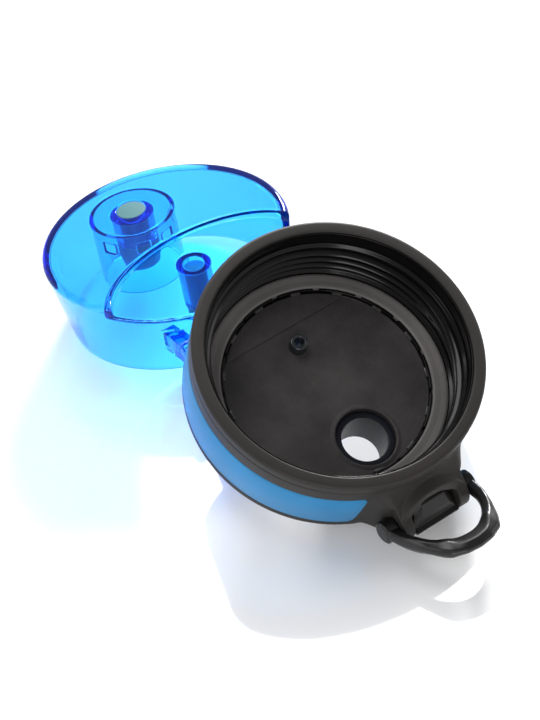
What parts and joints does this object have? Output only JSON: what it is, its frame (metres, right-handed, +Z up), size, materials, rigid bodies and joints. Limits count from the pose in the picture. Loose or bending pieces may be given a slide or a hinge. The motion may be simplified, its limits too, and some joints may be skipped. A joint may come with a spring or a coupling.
{
  "type": "flip-top bottle lid",
  "caption": "Screw-on bottle lid with drinking spout, hinged translucent flip cover, front latch and carry loop, lying open and mouth up.",
  "frame": {"origin": "middle of the box's underside, on the surface that the open lid lies on", "axes": "+Z up from that surface, +Y from the lid towards the cover along the long way of the opened assembly, X along the hinge pin and across the plane of symmetry"},
  "size_m": [0.0764, 0.1714, 0.0554],
  "materials": {
    "shell": "soft-touch moulded black, fine matt grain",
    "liner": "black polypropylene, glossy thread, fine spark-eroded grain on the plate",
    "band": "satin blue moulded band",
    "gasket": "grey silicone ring",
    "spout": "black moulded tube",
    "seal": "dark silicone ring",
    "vent": "black moulded tube",
    "pin": "drawn steel pin",
    "spring": "spring steel wire",
    "cover": "clear cyan copolyester, polished",
    "plug": "grey-green silicone",
    "latch": "black moulded latch",
    "loop": "glossy black moulded loop"
  },
  "bodies": {
    "lid": {"lid_shell": "shell", "lid_liner": "liner", "colour_band": "band", "neck_gasket": "gasket", "spout": "spout", "spout_seal": "seal", "vent_tube": "vent", "hinge_pin": "pin", "hinge_spring": "spring", "latch_pin": "pin", "latch_spring": "spring"},
    "cover": {"cover": "cover", "spout_plug": "plug", "vent_plug": "plug"},
    "latch": {"latch_button": "latch"},
    "loop": {"carry_loop": "loop"}
  },
  "joints": [
    {"name": "cover_hinge", "type": "hinge", "parent": "lid", "child": "cover", "pos_m": [0, 0.01594, 0.01977], "axis": [-1, 0, 0], "range_deg": [0, 149], "stiffness_Nm_per_rad": 0.002},
    {"name": "latch_press", "type": "hinge", "parent": "lid", "child": "latch", "pos_m": [0, -0.06222, 0.00698], "axis": [-1, 0, 0], "range_deg": [0, 5], "stiffness_Nm_per_rad": 0.05, "deforming": ["latch_spring"]},
    {"name": "loop_swing", "type": "hinge", "parent": "lid", "child": "loop", "pos_m": [0, -0.06277, 0.0087], "axis": [1, 0, 0], "range_deg": [-54, 120]}
  ]
}
